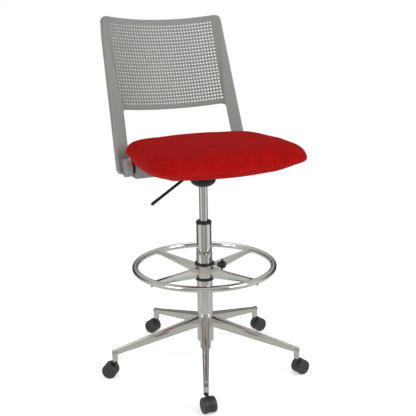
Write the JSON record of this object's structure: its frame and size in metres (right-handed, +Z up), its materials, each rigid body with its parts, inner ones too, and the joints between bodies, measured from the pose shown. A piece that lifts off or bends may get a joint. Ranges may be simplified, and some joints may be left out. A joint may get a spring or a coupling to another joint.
{
  "type": "drafting chair",
  "caption": "Tall swivel drafting chair on a star base with castors, gas lift, sliding footring, padded seat and a reclining perforated back.",
  "frame": {"origin": "on the floor, on the column's axis", "axes": "+Z up along the column; the sitter faces -Y; +X to the sitter's left"},
  "size_m": [0.6854, 0.7065, 1.1782],
  "materials": {
    "polished_aluminium": "polished",
    "chrome": "bright",
    "steel": "satin",
    "black_plastic": "matte",
    "black_steel": "satin",
    "rubber": "matte",
    "grey_plastic": "satin",
    "red_fabric": "woven",
    "castor_plastic": "satin"
  },
  "bodies": {
    "base": {"star_base": "polished_aluminium", "column_sleeve": "chrome", "stand_tube": "chrome", "guide_bush": "black_plastic", "thrust_bearing": "steel"},
    "lift_rod": {"piston_rod": "steel", "piston": "steel", "rod_clip": "steel"},
    "seat": {"pressure_tube": "chrome", "rod_seal": "black_plastic", "mechanism_cup": "black_plastic", "mechanism_housing": "black_steel", "lever_pin": "steel", "seat_board": "black_plastic", "seat_cushion": "red_fabric", "seat_screws": "steel", "beam_screws": "steel", "rear_beam": "grey_plastic", "pivot_bush_left": "rubber", "pivot_bush_right": "rubber"},
    "valve": {"release_pin": "steel"},
    "lever": {"release_lever": "black_steel"},
    "back": {"backrest_shell": "grey_plastic", "boss_cap_left": "grey_plastic", "boss_cap_right": "grey_plastic", "pivot_pins": "steel"},
    "ring_slider": {"ring_bush": "black_plastic"},
    "footring": {"ring_hub": "chrome", "ring_spokes": "chrome", "foot_hoop": "chrome", "ring_collar": "black_plastic"},
    "clamp": {"clamp_knob": "black_plastic", "clamp_screw": "steel", "clamp_pad": "black_plastic"},
    "castor_1": {"castor_1_stem": "steel", "castor_1_hood": "castor_plastic", "castor_1_axle": "steel"},
    "castor_1_left": {"castor_1_wheel_left": "castor_plastic"},
    "castor_1_right": {"castor_1_wheel_right": "castor_plastic"},
    "castor_2": {"castor_2_stem": "steel", "castor_2_hood": "castor_plastic", "castor_2_axle": "steel"},
    "castor_2_left": {"castor_2_wheel_left": "castor_plastic"},
    "castor_2_right": {"castor_2_wheel_right": "castor_plastic"},
    "castor_3": {"castor_3_stem": "steel", "castor_3_hood": "castor_plastic", "castor_3_axle": "steel"},
    "castor_3_left": {"castor_3_wheel_left": "castor_plastic"},
    "castor_3_right": {"castor_3_wheel_right": "castor_plastic"},
    "castor_4": {"castor_4_stem": "steel", "castor_4_hood": "castor_plastic", "castor_4_axle": "steel"},
    "castor_4_left": {"castor_4_wheel_left": "castor_plastic"},
    "castor_4_right": {"castor_4_wheel_right": "castor_plastic"},
    "castor_5": {"castor_5_stem": "steel", "castor_5_hood": "castor_plastic", "castor_5_axle": "steel"},
    "castor_5_left": {"castor_5_wheel_left": "castor_plastic"},
    "castor_5_right": {"castor_5_wheel_right": "castor_plastic"}
  },
  "joints": [
    {"name": "seat_swivel", "type": "hinge", "parent": "base", "child": "lift_rod", "pos_m": [0, 0, 0.1], "axis": [0, 0, 1], "continuous": true},
    {"name": "seat_height", "type": "slide", "parent": "lift_rod", "child": "seat", "axis": [0, 0, 1], "range_m": [-0.1, 0.1]},
    {"name": "release_lever_lift", "type": "hinge", "parent": "seat", "child": "lever", "pos_m": [-0.022, 0.0176, 0.6818], "axis": [0, 1, 0], "range_deg": [0, 12], "stiffness_Nm_per_rad": 3},
    {"name": "valve_press", "type": "slide", "parent": "seat", "child": "valve", "axis": [0, 0, -1], "range_m": [0, 0.0051]},
    {"name": "back_recline", "type": "hinge", "parent": "seat", "child": "back", "pos_m": [0, 0.128, 0.691], "axis": [-1, 0, 0], "range_deg": [-3, 10], "stiffness_Nm_per_rad": 120, "springref_deg": -1.29},
    {"name": "footring_height", "type": "slide", "parent": "base", "child": "ring_slider", "axis": [0, 0, 1], "range_m": [-0.11, 0.045]},
    {"name": "footring_turn", "type": "hinge", "parent": "ring_slider", "child": "footring", "pos_m": [0, 0, 0.34], "axis": [0, 0, 1], "continuous": true},
    {"name": "clamp_knob_turn", "type": "hinge", "parent": "footring", "child": "clamp", "pos_m": [0, 0, 0.3662], "axis": [0.7133, -0.7009, 0], "range_deg": [0, 540]},
    {"name": "castor_1_swivel", "type": "hinge", "parent": "base", "child": "castor_1", "pos_m": [-0.1333, -0.28981, 0.06], "axis": [0, 0, 1], "continuous": true},
    {"name": "castor_1_roll_left", "type": "hinge", "parent": "castor_1", "child": "castor_1_left", "pos_m": [-0.13421, -0.30779, 0.025], "axis": [0.9987, -0.0506, 0], "continuous": true},
    {"name": "castor_1_roll_right", "type": "hinge", "parent": "castor_1", "child": "castor_1_right", "pos_m": [-0.13421, -0.30779, 0.025], "axis": [0.9987, -0.0506, 0], "continuous": true},
    {"name": "castor_2_swivel", "type": "hinge", "parent": "base", "child": "castor_2", "pos_m": [0.23444, -0.21633, 0.06], "axis": [0, 0, 1], "continuous": true},
    {"name": "castor_2_roll_left", "type": "hinge", "parent": "castor_2", "child": "castor_2_left", "pos_m": [0.2521, -0.21287, 0.025], "axis": [-0.1925, 0.9813, 0], "continuous": true},
    {"name": "castor_2_roll_right", "type": "hinge", "parent": "castor_2", "child": "castor_2_right", "pos_m": [0.2521, -0.21287, 0.025], "axis": [-0.1925, 0.9813, 0], "continuous": true},
    {"name": "castor_3_swivel", "type": "hinge", "parent": "base", "child": "castor_3", "pos_m": [0.27819, 0.15611, 0.06], "axis": [0, 0, 1], "continuous": true},
    {"name": "castor_3_roll_left", "type": "hinge", "parent": "castor_3", "child": "castor_3_left", "pos_m": [0.29591, 0.15927, 0.025], "axis": [-0.1754, 0.9845, 0], "continuous": true},
    {"name": "castor_3_roll_right", "type": "hinge", "parent": "castor_3", "child": "castor_3_right", "pos_m": [0.29591, 0.15927, 0.025], "axis": [-0.1754, 0.9845, 0], "continuous": true},
    {"name": "castor_4_swivel", "type": "hinge", "parent": "base", "child": "castor_4", "pos_m": [-0.06251, 0.31282, 0.06], "axis": [0, 0, 1], "continuous": true},
    {"name": "castor_4_roll_left", "type": "hinge", "parent": "castor_4", "child": "castor_4_left", "pos_m": [-0.07286, 0.32754, 0.025], "axis": [-0.8181, -0.575, 0], "continuous": true},
    {"name": "castor_4_roll_right", "type": "hinge", "parent": "castor_4", "child": "castor_4_right", "pos_m": [-0.07286, 0.32754, 0.025], "axis": [-0.8181, -0.575, 0], "continuous": true},
    {"name": "castor_5_swivel", "type": "hinge", "parent": "base", "child": "castor_5", "pos_m": [-0.31682, 0.03722, 0.06], "axis": [0, 0, 1], "continuous": true},
    {"name": "castor_5_roll_left", "type": "hinge", "parent": "castor_5", "child": "castor_5_left", "pos_m": [-0.33083, 0.04852, 0.025], "axis": [-0.628, -0.7782, 0], "continuous": true},
    {"name": "castor_5_roll_right", "type": "hinge", "parent": "castor_5", "child": "castor_5_right", "pos_m": [-0.33083, 0.04852, 0.025], "axis": [-0.628, -0.7782, 0], "continuous": true}
  ],
  "couplings": [
    {"joint": "valve_press", "follows": "release_lever_lift", "m_per_rad": 0.024}
  ]
}
